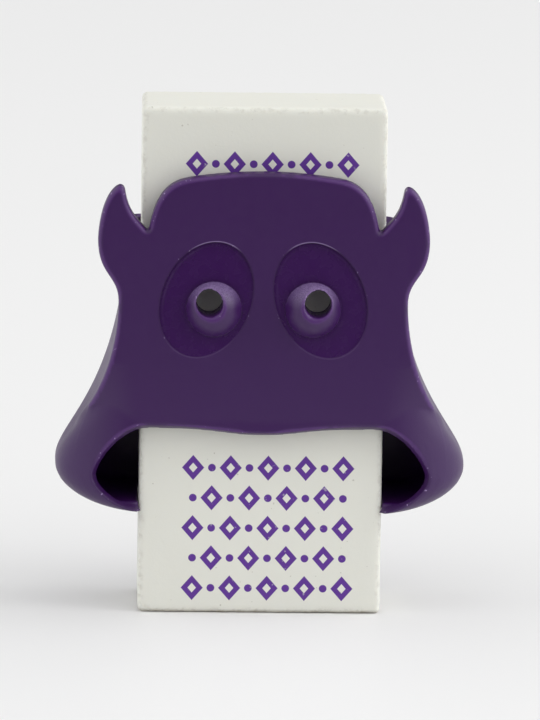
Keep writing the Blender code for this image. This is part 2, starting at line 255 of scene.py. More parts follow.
class Colours(bpy.types.PropertyGroup):
    """Colours of the two materials, the print and the table."""

    plastic: bpy.props.FloatVectorProperty(
        name="Plastic", description="Colour of the moulded holder",
        default=(0.0335, 0.0025, 0.073), subtype='COLOR', min=0, max=1)
    # Colour of the painted highlights on the eyeball tops and socket rims, and of the pale specks
    # on edges
    highlight_and_speck: bpy.props.FloatVectorProperty(
        name="Scuff", description="Colour of the plastic where it is rubbed",
        default=(0.30, 0.21, 0.42), subtype='COLOR', min=0, max=1)
    # Colour of the painted highlights along sharply bent edges
    painted_edge_highlight: bpy.props.FloatVectorProperty(
        name="Glow", description="Colour that the plastic takes on where it bends sharply",
        default=(0.11, 0.026, 0.21), subtype='COLOR', min=0, max=1)
    vinyl: bpy.props.FloatVectorProperty(
        name="Vinyl", description="Colour of the eraser block",
        default=(0.80, 0.80, 0.735), subtype='COLOR', min=0, max=1)
    ink: bpy.props.FloatVectorProperty(
        name="Ink", description="Colour of the print on the block",
        default=(0.115, 0.030, 0.30), subtype='COLOR', min=0, max=1)
    # Also the colour of the painted contact shadow along the block's foot
    grime_and_shadow: bpy.props.FloatVectorProperty(
        name="Grime", description="Colour of the specks and the dirt on the block",
        default=(0.22, 0.17, 0.12), subtype='COLOR', min=0, max=1)
    table: bpy.props.FloatVectorProperty(
        name="Table", description="Colour of the table",
        default=(0.86, 0.86, 0.86), subtype='COLOR', min=0, max=1)


class StageSettings(bpy.types.PropertyGroup):
    """Camera and lights."""

    distance: bpy.props.FloatProperty(
        name="Camera Distance", description="Distance from the camera to the object's middle",
        default=0.8, unit='LENGTH')
    azimuth: bpy.props.FloatProperty(
        name="Azimuth", description="Turn of the camera to the right of straight on",
        default=math.radians(-1.5), subtype='ANGLE')
    elevation: bpy.props.FloatProperty(
        name="Elevation", description="Height angle of the camera",
        default=math.radians(10.517), subtype='ANGLE')
    roll: bpy.props.FloatProperty(
        name="Roll", description="Turn of the camera about its own axis",
        default=math.radians(0.816), subtype='ANGLE')
    focal_pixels: bpy.props.FloatProperty(
        name="Focal Length", description="Focal length in pixels of the image",
        default=6795.4)
    centre_column: bpy.props.FloatProperty(
        name="Centre Column", description="Pixel column that the object's middle falls on",
        default=260.79)
    centre_row: bpy.props.FloatProperty(
        name="Centre Row", description="Pixel row that the object's middle falls on",
        default=352.18)
    middle_height: bpy.props.FloatProperty(
        name="Middle Height", description="Height of the point that the camera looks at",
        default=30 * MM, unit='LENGTH', precision=4)
    table_size: bpy.props.FloatProperty(
        name="Table Size", description="Length and width of the table top",
        default=4.0, unit='LENGTH')
    table_reach: bpy.props.FloatProperty(
        name="Table Reach", description="How far the table top comes out in front of the block",
        default=0.11, unit='LENGTH')
    right_power: bpy.props.FloatProperty(
        name="Right Power", description="Power of the softbox on the right",
        default=2.4, unit='POWER')
    left_power: bpy.props.FloatProperty(
        name="Left Power", description="Power of the softbox on the left",
        default=0.45, unit='POWER')
    side_glow: bpy.props.FloatProperty(
        name="Side Glow", description="Strength of the room's light from both sides", default=1.3)
    side_lean: bpy.props.FloatProperty(
        name="Side Lean", description="What the right side has more of it, and the left side less",
        default=0.15)
    front_glow: bpy.props.FloatProperty(
        name="Front Glow", description="Strength of the room's light from above and in front",
        default=1.2)
    sky_glow: bpy.props.FloatProperty(
        name="Sky Glow", description="Strength of the room's light from straight above",
        default=0.6)


class Signal:
    """One shader socket. Python's arithmetic on it adds Math nodes."""

    def __init__(self, recipe, socket):
        self.recipe = recipe
        self.socket = socket

    def maths(self, operation, *values):
        """Add a Math node that works on these values."""
        return self.recipe.add("ShaderNodeMath", {"operation": operation}, dict(enumerate(values)))

    def __add__(self, other):
        return self.maths('ADD', self, other)

    def __radd__(self, other):
        return self.maths('ADD', other, self)

    def __sub__(self, other):
        return self.maths('SUBTRACT', self, other)

    def __rsub__(self, other):
        return self.maths('SUBTRACT', other, self)

    def __mul__(self, other):
        return self.maths('MULTIPLY', self, other)

    def __rmul__(self, other):
        return self.maths('MULTIPLY', other, self)

    def __truediv__(self, other):
        return self.maths('DIVIDE', self, other)

    def __pow__(self, other):
        return self.maths('POWER', self, other)

    def __abs__(self):
        return self.maths('ABSOLUTE', self)

    def floor(self):
        """The whole number below."""
        return self.maths('FLOOR', self)

    def fraction(self):
        """What is left above the whole number below."""
        return self.maths('FRACT', self)

    def larger(self, other):
        """This value or the other one, whichever is larger."""
        return self.maths('MAXIMUM', self, other)

    def rises(self, start, end):
        """0 at start, 1 at end, and eased between them."""
        return self.recipe.add("ShaderNodeMapRange", {"interpolation_type": 'SMOOTHSTEP'},
                               {"Value": self, "From Min": start, "From Max": end})


class Recipe:
    """A node tree, built up one node at a time."""

    def __init__(self, tree, coordinates):
        self.tree = tree
        self.place = self.add("ShaderNodeTexCoord", output=coordinates)
        split = self.add("ShaderNodeSeparateXYZ", {}, {0: self.place})
        axes = split.socket.node.outputs
        self.x, self.y, self.z = (Signal(self, axes[name]) for name in "XYZ")

    def add(self, kind, settings=None, inputs=None, output=0):
        """Add a node with its settings, then give its sockets values or links."""
        node = self.tree.nodes.new(kind)
        for key, value in (settings or {}).items():
            setattr(node, key, value)
        for key, value in (inputs or {}).items():
            self.feed(node.inputs[key], value)
        return Signal(self, node.outputs[output])

    def feed(self, socket, value):
        """Give a socket a value, or link it."""
        if isinstance(value, Signal):
            self.tree.links.new(value.socket, socket)
        else:
            socket.default_value = value


class Finish(Recipe):
    """A material whose pattern stays with the object."""

    def __init__(self, name, colour, roughness, specular):
        self.material = bpy.data.materials.new(name)
        self.material.use_nodes = True
        self.material.diffuse_color = (*colour, 1.0)
        super().__init__(self.material.node_tree, "Object")
        self.shader = self.tree.nodes["Principled BSDF"]
        self.set("Base Color", (*colour, 1.0))
        self.set("Roughness", roughness)
        self.set("Specular IOR Level", specular)

    def set(self, name, value):
        """Give one of the surface shader's sockets a value or a link."""
        self.feed(self.shader.inputs[name], value)

    def noise(self, scale, detail=2.0, roughness=0.5):
        """Noise whose grains are about one over scale metres wide."""
        sockets = {"Vector": self.place, "Scale": scale, "Detail": detail, "Roughness": roughness}
        return self.add("ShaderNodeTexNoise", {}, sockets, "Fac")

    def mix(self, share, first, second):
        """Blend from one colour to another."""
        sockets = {0: share, 6: first, 7: second}
        return self.add("ShaderNodeMix", {"data_type": 'RGBA'}, sockets, 2)

    def turn(self, share, first, second):
        """Turn from one direction to another."""
        sockets = {0: share, 4: first, 5: second}
        return self.add("ShaderNodeMix", {"data_type": 'VECTOR'}, sockets, 1)

    def bump(self, height, distance, under=None):
        """Turn a height in units of distance into a normal, on top of the one under it."""
        sockets = {"Height": height, "Distance": distance, "Strength": 1.0}
        if under:
            sockets["Normal"] = under
        return self.add("ShaderNodeBump", {}, sockets, "Normal")


def deselect():
    """Leave nothing selected."""
    bpy.ops.object.select_all(action='DESELECT')


def make_active(obj):
    """Select one object alone and make it active."""
    deselect()
    obj.select_set(True)
    bpy.context.view_layer.objects.active = obj


def named(obj, name):
    """Name an object and its mesh alike."""
    obj.name = name
    obj.data.name = name
    return obj


def apply_modifier(obj, kind, **settings):
    """Add a modifier with these settings and apply it."""
    make_active(obj)
    modifier = obj.modifiers.new(kind.lower(), kind)
    for key, value in settings.items():
        setattr(modifier, key, value)
    bpy.ops.object.modifier_apply(modifier=modifier.name)


def combine(body, tool, operation):
    """Cut or join a body with a tool, and throw the tool away."""
    apply_modifier(body, 'BOOLEAN', object=tool, operation=operation, solver='EXACT')
    bpy.data.objects.remove(tool)


def apply_place(obj):
    """Move an object's place, turn and scale into its mesh."""
    make_active(obj)
    bpy.ops.object.transform_apply(location=True, rotation=True, scale=True)


def smooth_where(obj, test, repeat):
    """Smooth the vertices whose places pass a test, this many times."""
    make_active(obj)
    bpy.ops.object.mode_set(mode='EDIT')
    bpy.ops.mesh.select_mode(type='VERT')
    bpy.ops.mesh.select_all(action='DESELECT')
    mesh = bmesh.from_edit_mesh(obj.data)
    for vert in mesh.verts:
        vert.select = test(vert.co)
    mesh.select_flush(True)
    bmesh.update_edit_mesh(obj.data)
    bpy.ops.mesh.vertices_smooth(factor=0.5, repeat=repeat)
    bpy.ops.object.mode_set(mode='OBJECT')


def heading(degrees):
    """Unit vector in the front view, turned up from +X."""
    return Vector((math.cos(math.radians(degrees)), math.sin(math.radians(degrees))))


def bezier(start, start_handle, end_handle, end, steps):
    """Points along a cubic curve, without its first point."""
    points = []
    for step in range(1, steps + 1):
        t = step / steps
        near = (1 - t) ** 3 * start + 3 * t * (1 - t) ** 2 * start_handle
        far = 3 * t * t * (1 - t) * end_handle + t ** 3 * end
        points.append(near + far)
    return points


def mirrored(half):
    """Close a right half, drawn from the centre line and back to it, into a full loop."""
    return half + [Vector((-point.x, point.y)) for point in reversed(half) if point.x > 0]


def grown(loop, distance):
    """Move each point of a clockwise loop outwards by a distance, square to the loop."""
    points = []
    for index, point in enumerate(loop):
        along = (loop[(index + 1) % len(loop)] - loop[index - 1]).normalized()
        points.append(point + Vector((-along.y, along.x)) * distance)
    return points


def upright(loop, y):
    """Stand a loop of the front view, drawn from the holder's rim, up at a depth."""
    return [Vector((point.x, y, point.y + RIM)) for point in loop]


def draw_out(name, rings):
    """Extrude a disc through rings of points, one extrusion for each, and close both ends."""
    deselect()
    bpy.ops.mesh.primitive_circle_add(vertices=len(rings[0]), radius=SIDE, fill_type='NGON')
    obj = named(bpy.context.object, name)
    bpy.ops.object.mode_set(mode='EDIT')
    bpy.ops.mesh.select_mode(type='FACE')
    bpy.ops.mesh.select_all(action='SELECT')
    mesh = bmesh.from_edit_mesh(obj.data)
    order = mesh.verts.layers.int.new("order")
    for index, vert in enumerate(mesh.verts):
        vert[order] = index
    bmesh.update_edit_mesh(obj.data)
    for number, ring in enumerate(rings):
        if number:
            bpy.ops.mesh.extrude_region_move()
        mesh = bmesh.from_edit_mesh(obj.data)
        order = mesh.verts.layers.int["order"]
        for vert in mesh.verts:
            if vert.select:
                vert.co = ring[vert[order]]
        bmesh.update_edit_mesh(obj.data)
    bpy.ops.mesh.select_all(action='SELECT')
    bpy.ops.mesh.normals_make_consistent(inside=False)
    bpy.ops.object.mode_set(mode='OBJECT')
    obj.data.attributes.remove(obj.data.attributes["order"])
    return obj


def corner(centre, size, start_degrees):
    """A quarter of an ellipse about a centre, turning anticlockwise."""
    points = []
    for step in range(CORNER_STEPS + 1):
        turn = heading(start_degrees + 90 * step / CORNER_STEPS)
        points.append(Vector((centre.x + size.x * turn.x, centre.y + size.y * turn.y)))
    return points


def plan_section(half_width, front, back, front_corner, back_corner, height):
    """A level ring with elliptical corners, front at -Y, at a height above the rim."""
    right_back = Vector((half_width - back_corner.x, back - back_corner.y))
    right_front = Vector((half_width - front_corner.x, front_corner.y - front))
    left_back = Vector((-right_back.x, right_back.y))
    left_front = Vector((-right_front.x, right_front.y))
    loop = corner(right_back, back_corner, 0) + corner(left_back, back_corner, 90)
    loop += corner(left_front, front_corner, 180) + corner(right_front, front_corner, 270)
    return [Vector((point.x, point.y, height + RIM)) for point in loop]


def sleeve_section(height, swell, curl, inset):
    """The sleeve's section where it has swollen and curled by these shares of the whole."""
    spread = swell ** WIDTH_EASE
    plain = Vector((SLEEVE_CORNER, SLEEVE_CORNER))
    rim = Vector((RIM_CORNER, RIM_CORNER))
    front_corner = Vector((plain.x + (FRONT_CORNER.x - plain.x) * spread,
                           plain.y + (FRONT_CORNER.y - plain.y) * swell ** DEPTH_EASE))
    back_corner = plain.lerp(BACK_CORNER, spread)
    corners = []
    for full in (front_corner, back_corner):
        size = full.lerp(rim, curl) - Vector((inset, inset))
        corners.append(Vector((max(size.x, INNER_CORNER), max(size.y, INNER_CORNER))))
    half_width = SIDE + CHEEK_SWELL * swell - (CHEEK_TUCK - inset) * curl - inset
    front = FRONT + FRONT_SWELL * spread - (FRONT_TUCK - inset) * curl - inset
    back = FRONT + BACK_SWELL * spread - (WALL - inset) * curl - inset
    return plan_section(half_width, front, back, corners[0], corners[1], height)


def sleeve_rings(inset, floor):
    """Rings of the sleeve from its top to its curled rim, moved in from the outer skin."""
    heights = bezier(SLEEVE_HEIGHT, SLEEVE_HEIGHT - STRAIGHT_RUN,
                     CHEEK_HEIGHT + CHEEK_ROUND, CHEEK_HEIGHT, LEVELS)
    rings = []
    for step, height in enumerate([SLEEVE_HEIGHT] + heights):
        t = step / LEVELS
        rings.append(sleeve_section(height, 3 * t ** 2 - 2 * t ** 3, 0, inset))
    for step in range(1, CURL_LEVELS + 1):
        turn = heading(90 * step / CURL_LEVELS)
        height = CHEEK_HEIGHT - (CHEEK_HEIGHT - floor) * turn.y
        rings.append(sleeve_section(height, 1, 1 - turn.x, inset))
    return rings


def from_side(place):
    """A place on the mask, given from the sleeve's side, in the front view."""
    return Vector((SIDE + place.x, place.y))


def mask_outline():
    """Clockwise outline of the mask: crown, horns, waist and jowls."""
    crown = Vector((0, CROWN_HEIGHT))
    brow = from_side(BROW)
    notch = from_side(NOTCH)
    tip_inner = from_side(HORN_TIP_INNER)
    tip_outer = from_side(HORN_TIP_OUTER)
    bulge = from_side(HORN_BULGE)
    waist = from_side(WAIST)
    jowl = from_side(JOWL)
    foot = jowl + JOWL_FADE
    down = Vector((0, -1))
    stretches = [
        (crown, crown + Vector((CROWN_HANDLES[0], 0)),
         brow - heading(CROWN_SLOPE) * CROWN_HANDLES[1], brow),
        (brow, brow + heading(CROWN_SLOPE) * BROW_HANDLES[0],
         notch - heading(BROW_SLOPE) * BROW_HANDLES[1], notch),
        (notch, notch + heading(HORN_ROOT_SLOPE) * HORN_HOLLOW_HANDLES[0],
         tip_inner - heading(HORN_TIP_SLOPE) * HORN_HOLLOW_HANDLES[1], tip_inner),
        (tip_inner, tip_inner + heading(HORN_TIP_SLOPE) * HORN_TIP_HANDLE,
         tip_outer - heading(HORN_BACK_SLOPE) * HORN_TIP_HANDLE, tip_outer),
        (tip_outer, tip_outer + heading(HORN_BACK_SLOPE) * HORN_OUTER_HANDLES[0],
         bulge - down * HORN_OUTER_HANDLES[1], bulge),
        (bulge, bulge + down * HORN_LOWER_HANDLES[0],
         waist - down * HORN_LOWER_HANDLES[1], waist),
        (waist, waist + down * WAIST_HANDLES[0],
         jowl - heading(JOWL_SLOPE) * WAIST_HANDLES[1], jowl),
    ]
    half = [crown]
    for stretch in stretches:
        half += bezier(*stretch, OUTLINE_STEPS if stretch[0] != tip_inner else EDGE_STEPS)
    half += [foot, Vector((0, foot.y))]
    return mirrored(half)


def bisect_all(place, square_to):
    """In edit mode, cut everything along a plane."""
    bpy.ops.mesh.select_all(action='SELECT')
    bpy.ops.mesh.bisect(plane_co=place, plane_no=square_to)


def make_mask():
    """The mask plate with its front edge rounded and its lower corners rolled back."""
    outline = mask_outline()
    rings = [upright(outline, -MASK_BACK)]
    for step in range(EDGE_STEPS + 1):
        turn = heading(90 * step / EDGE_STEPS)
        inset = MASK_EDGE_RADIUS * (1 - turn.x)
        y = MASK_FRONT - MASK_EDGE_RADIUS * (1 - turn.y)
        rings.append(upright(grown(outline, -inset), -y))
    mask = draw_out("mask", rings)
    foot = from_side(JOWL + JOWL_FADE)
    start = SIDE + ROLL_START
    reach = foot.x - start
    drop = ROLL_HEIGHT - foot.y
    bpy.ops.object.mode_set(mode='EDIT')
    for step in range(ROLL_STEPS + 1):
        share = step / ROLL_STEPS
        bisect_all((0, 0, ROLL_HEIGHT + RIM - drop * share), (0, 0, 1))
        for side in (-1, 1):
            bisect_all((side * (start + reach * share), 0, 0), (1, 0, 0))
    mesh = bmesh.from_edit_mesh(mask.data)
    for vert in mesh.verts:
        across = max(0, (abs(vert.co.x) - start) / reach)
        down = max(0, (ROLL_HEIGHT + RIM - vert.co.z) / drop)
        vert.co.y += ROLL_DEPTH * min(across, 1) ** 2 * min(down, 1)
    bmesh.update_edit_mesh(mask.data)
    bpy.ops.object.mode_set(mode='OBJECT')
    return mask


def make_mouth():
    """A drafted plug that opens the mouth, lip above and chin cut away below."""
    lip_centre = Vector((0, LIP_CENTRE_HEIGHT))
    lip_end = Vector((HALF_WIDTH + LIP_END, LIP_HEIGHT))
    corner_point = Vector((HALF_WIDTH, 0)) + MOUTH_CORNER
    chin = Vector((HALF_WIDTH, 0)) + CHIN
    below = Vector((chin.x - OVERSHOOT, -OVERSHOOT))
    half = [lip_centre]
    half += bezier(lip_centre, lip_centre + Vector((LIP_HANDLES[0], 0)),
                   lip_end - Vector((LIP_HANDLES[1], 0)), lip_end, OUTLINE_STEPS)
    half += bezier(lip_end, lip_end + Vector((CORNER_HANDLES[0], 0)),
                   corner_point + Vector((0, CORNER_HANDLES[1])), corner_point, OUTLINE_STEPS)
    half += bezier(corner_point, corner_point - Vector((0, CHIN_HANDLES[0])),
                   chin - heading(CHIN_SLOPE) * CHIN_HANDLES[1], chin, OUTLINE_STEPS)
    half += [below, Vector((0, below.y))]
    outline = mirrored(half)
    inside = HALF_DEPTH + CLEARANCE
    rings = []
    for y in (HALF_DEPTH, FRONT + FRONT_SWELL + OVERSHOOT):
        draft = MOUTH_DRAFT * (y - inside)
        wider = 1 + draft / corner_point.x
        taller = 1 + draft / (lip_end.y - corner_point.y)
        loop = [Vector((point.x * wider, corner_point.y + (point.y - corner_point.y) * taller))
                for point in outline]
        rings.append(upright(loop, -y))
    return draw_out("mouth", rings)


def make_socket(side):
    """A leaning oval cutter with sloped sides, turned so that the dish fades out at its foot."""
    deselect()
    length = 2 * OVERSHOOT
    place = (side * SOCKET_CENTRE.x, SOCKET_DEPTH - MASK_FRONT - length / 2,
             SOCKET_CENTRE.y + RIM)
    bpy.ops.mesh.primitive_cone_add(
        vertices=ROUND_STEPS, radius1=1 - SOCKET_SHRINK, radius2=1 + SOCKET_SLOPE,
        depth=length, location=place,
        rotation=(math.radians(90 - SOCKET_FLOOR_RISE), -side * math.radians(SOCKET_LEAN),
                  side * math.radians(SOCKET_FLOOR_TURN)),
        scale=(SOCKET_WIDTH / 2, SOCKET_LENGTH / 2, 1))
    return named(bpy.context.object, "socket")


def make_eyeball(side):
    """A ball half sunk in the mask."""
    deselect()
    bpy.ops.mesh.primitive_uv_sphere_add(
        segments=ROUND_STEPS, ring_count=ROUND_STEPS // 2, radius=EYEBALL_RADIUS,
        location=(side * EYEBALL_CENTRE.x, EYEBALL_SUNK - MASK_FRONT, EYEBALL_CENTRE.y + RIM))
    return named(bpy.context.object, "eyeball")


def make_pupil(side):
    """A bore through one eyeball to the block, with a rounded mouth."""
    offset = (PUPIL_CENTRE - EYEBALL_CENTRE).length
    mouth = MASK_FRONT - EYEBALL_SUNK + math.sqrt(EYEBALL_RADIUS ** 2 - offset ** 2)
    loop = []
    for step in range(ROUND_STEPS):
        loop.append(PUPIL_CENTRE + heading(-360 * step / ROUND_STEPS) * PUPIL_RADIUS)
    loop = [Vector((side * point.x, point.y)) for point in loop]
    rings = [upright(loop, -HALF_DEPTH)]
    for step in range(EDGE_STEPS + 1):
        turn = heading(90 * step / EDGE_STEPS)
        flare = side * PUPIL_LIP * (1 - turn.x)
        rings.append(upright(grown(loop, flare), PUPIL_LIP * (1 - turn.y) - mouth))
    rings.append(upright(grown(loop, side * 2 * PUPIL_LIP), -mouth - EYEBALL_RADIUS))
    return draw_out("pupil", rings)


def make_passage(gap):
    """A straight cutter for the way that the block takes through the holder."""
    deselect()
    bpy.ops.mesh.primitive_cube_add(
        size=1, location=(0, 0, BLOCK_TOP / 2),
        scale=(2 * (HALF_WIDTH + gap), 2 * (HALF_DEPTH + gap), 2 * BLOCK_TOP))
    return named(bpy.context.object, "passage")


def mark_edges(obj, span):
    """Store how much the surface bends outwards over a span at each vertex, from 0 to 1."""
    mesh = obj.data
    count = len(mesh.vertices)
    place = np.empty(count * 3)
    mesh.vertices.foreach_get("co", place)
    normal = np.empty(count * 3)
    mesh.vertex_normals.foreach_get("vector", normal)
    ends = np.empty(len(mesh.edges) * 2, int)
    mesh.edges.foreach_get("vertices", ends)
    place, normal, ends = place.reshape(-1, 3), normal.reshape(-1, 3), ends.reshape(-1, 2)
    near, far = np.concatenate((ends, ends[:, ::-1])).T
    links = np.maximum(np.bincount(near, minlength=count), 1)
    step = place[near] - place[far]
    rise = np.bincount(near, (step * normal[near]).sum(axis=1), count)
    bend = 2 * span * rise / np.maximum(np.bincount(near, (step ** 2).sum(axis=1), count), 1e-12)
    bend = np.clip(bend, -1, 1)
    for _ in range(2):
        bend = (bend + np.bincount(near, bend[far], count) / links) / 2
    attribute = mesh.attributes.new("edge", 'FLOAT', 'POINT')
    attribute.data.foreach_set("value", np.clip(bend, 0, 1).astype(np.float32))


class EyeMasks:
    """Signals from 0 to 1 for the parts of the eyes, and the way up the eyeball from -1 to 1."""

    def __init__(self, recipe):
        lean = heading(SOCKET_LEAN)
        sideways = abs(recipe.x) - SOCKET_CENTRE.x
        upwards = recipe.z - (SOCKET_CENTRE.y + RIM)
        across = (sideways * lean.x + upwards * lean.y) / (SOCKET_WIDTH / 2)
        along = (upwards * lean.x - sideways * lean.y) / (SOCKET_LENGTH / 2)
        self.ball_up = (recipe.z - (EYEBALL_CENTRE.y + RIM)) / EYEBALL_RADIUS
        ball_across = (abs(recipe.x) - EYEBALL_CENTRE.x) / EYEBALL_RADIUS
        # Squared distances from the middle: 1 on the socket's oval, and 1 on the ball's circle
        in_oval = across ** 2 + along ** 2
        in_ball = ball_across ** 2 + self.ball_up ** 2
        near_front = abs(recipe.y + MASK_FRONT - 0.25 * MM).rises(0.6 * MM, 0.4 * MM)
        self.socket = in_oval.rises(1.0, 0.96) * near_front
        self.ball = in_ball.rises(1.05, 1.0) * (recipe.y + MASK_FRONT).rises(0, -0.15 * MM)
        # Painted highlight round each socket: a bright arc along the top of its oval, a faint line
        # along its foot
        painted_top_arc = upwards.rises(5.5 * MM, 6.6 * MM) * 0.75
        painted_foot_line = upwards.rises(-4 * MM, -6 * MM) * 0.1
        oval_line = abs(in_oval - 1.01).rises(0.03, 0.01) * near_front
        self.painted_rim_highlight = oval_line * (painted_top_arc + painted_foot_line)
        socket_crease = in_oval.rises(0.82, 0.90) * in_oval.rises(1.2, 1.1)
        socket_crease = socket_crease * (1 - in_ball.rises(1.02, 0.97))
        ball_crease = in_ball.rises(0.97, 1.0) * in_ball.rises(1.3, 1.2)
        self.crease = socket_crease.larger(ball_crease) * near_front


def plastic_finish(colours):
    """Satin moulded plastic: fine grain, smooth sockets, specks, and painted highlights on
    eyeballs, rims and edges.
    """
    recipe = Finish("purple_plastic_finish", colours.plastic, 0.4, 0.5)
    edge = recipe.add("ShaderNodeAttribute", {"attribute_name": "edge"}, {}, "Fac")
    eyes = EyeMasks(recipe)
    grain = recipe.noise(6500, 2, 0.7).rises(0.35, 0.65)
    # Painted highlight, grainy, on the upper part of each eyeball; the plastic there is also made
    # rougher
    painted_ball_highlight = eyes.ball * eyes.ball_up.rises(0.1, 0.9) * (0.3 + 0.7 * grain)
    mottle = recipe.noise(220, 3)
    specks = recipe.noise(2600, 1).rises(0.70, 0.74) * edge.rises(0.3, 0.6)
    # Painted highlight: a lighter violet along sharply bent edges above the mouth, kept off the
    # creases round the eyes
    painted_edge_highlight = edge.rises(0.12, 0.45) * (recipe.z - RIM).rises(4 * MM, 9 * MM)
    shade = recipe.mix(mottle * 0.5, (*colours.plastic, 1.0),
                       (*(channel * 1.2 for channel in colours.plastic), 1.0))
    shade = recipe.mix(painted_edge_highlight * (1 - eyes.crease) * 0.4, shade, (*colours.painted_edge_highlight, 1.0))
    # Paint the eyeball highlights and the socket rim highlights in the highlight colour
    shade = recipe.mix(painted_ball_highlight * 0.8 + eyes.painted_rim_highlight, shade, (*colours.highlight_and_speck, 1.0))
    recipe.set("Base Color", recipe.mix(specks, shade, (*colours.highlight_and_speck, 1.0)))
    roughness = 0.36 + 0.10 * recipe.noise(900, 2)
    recipe.set("Roughness", roughness - 0.14 * eyes.socket + 0.1 * painted_ball_highlight)
    # Remeshing blurs the creases round the eyes, so both sides of each are shaded as if flat
    surface = recipe.add("ShaderNodeNewGeometry", output="Normal")
    rise = math.radians(SOCKET_FLOOR_RISE)
    flat = recipe.turn(eyes.socket, (0, -1, 0), (0, -math.cos(rise), math.sin(rise)))
    surface = recipe.turn(eyes.crease, surface, flat)
    coarse = recipe.noise(3200, 3, 0.6)
    fine = recipe.noise(9000, 1)
    height = (coarse * 0.65 + fine * 0.35 - 0.5) * (1 - 0.75 * eyes.socket + 0.8 * eyes.ball)
    recipe.set("Normal", recipe.bump(height, 0.016 * MM, surface))
    return recipe.material


def print_mask(recipe, sizes):
    """Where the front of the block carries ink: staggered diamonds with dots between them."""
    row = (recipe.z - sizes.print_foot) / sizes.row_pitch
    stagger = (row.floor() * 0.5 + 0.5).fraction()
    column = (recipe.x - sizes.print_shift) / sizes.motif_pitch + stagger
    across = abs(column.fraction() - 0.5) * sizes.motif_pitch
    dot_across = abs((column + 0.5).fraction() - 0.5) * sizes.motif_pitch
    up = abs(row.fraction() - 0.5) * sizes.row_pitch
    diamond = (across / DIAMOND.x + up / DIAMOND.y).rises(1.03, 0.97)
    hollow = (across / DIAMOND_HOLLOW.x + up / DIAMOND_HOLLOW.y).rises(0.96, 1.04)
    dot = ((dot_across ** 2 + up ** 2) ** 0.5).rises(DOT_RADII[1], DOT_RADII[0])
    lower, upper = (row.rises(first - 0.001, first) * row.rises(last + 0.001, last)
                    for first, last in (LOWER_ROWS, UPPER_ROWS))
    from_end = stagger * PRINT_STAGGER + PRINT_REACH - abs(recipe.x - sizes.print_shift)
    front = (recipe.y + HALF_DEPTH).rises(0.2 * MM, 0.1 * MM)
    field = (lower + upper) * from_end.rises(0, 0.1 * MM) * front
    patchy = recipe.noise(1500, 2).rises(0.22, 0.34)
    return (diamond * hollow + dot) * field * (0.55 + 0.45 * patchy)


def vinyl_finish(colours, sizes):
    """Matt white vinyl: mottling, specks, dirt on its edges, painted contact shadow at its foot,
    and a purple print.
    """
    recipe = Finish("white_vinyl_finish", colours.vinyl, 0.55, 0.4)
    edge = recipe.add("ShaderNodeAttribute", {"attribute_name": "edge"}, {}, "Fac")
    mottle = recipe.noise(160, 3)
    base = recipe.mix(mottle * 0.35, (*colours.vinyl, 1.0),
                      (*(channel * 0.93 for channel in colours.vinyl), 1.0))
    specks = recipe.noise(1700, 1).rises(0.745, 0.78)
    # Painted contact shadow: a patchy dark band along the block's foot, where it stands on the
    # table
    painted_foot_shadow = recipe.z.rises(0.55 * MM, 0.05 * MM) * (0.35 + 0.65 * recipe.noise(500, 2))
    rubbed = recipe.noise(1100, 3, 0.7).rises(0.45, 0.65) * edge.rises(0.2, 0.7)
    dirt_and_foot_shadow = specks * 0.35 + painted_foot_shadow * 0.75 + rubbed * 0.2
    base = recipe.mix(dirt_and_foot_shadow, base, (*colours.grime_and_shadow, 1.0))
    base = recipe.mix(print_mask(recipe, sizes), base, (*colours.ink, 1.0))
    recipe.set("Base Color", base)
    recipe.set("Roughness", 0.50 + 0.16 * recipe.noise(700, 2) + 0.1 * edge)
    grain = recipe.noise(1400, 3, 0.55) * 0.6 + recipe.noise(5000, 2) * 0.4
    recipe.set("Normal", recipe.bump(grain, 0.03 * MM))
    recipe.set("Subsurface Weight", 0.15)
    recipe.set("Subsurface Radius", (1.2 * MM, 1.1 * MM, 0.9 * MM))
    recipe.set("Subsurface Scale", 1.0)
    return recipe.material


def table_finish(colours):
    """A matt white table top with a trace of unevenness."""
    recipe = Finish("table_finish", colours.table, 0.6, 0.2)
    tint = recipe.noise(6, 2)
    recipe.set("Base Color", recipe.mix(tint * 0.2, (*colours.table, 1.0),
                                        (*(channel * 0.985 for channel in colours.table), 1.0)))
    return recipe.material


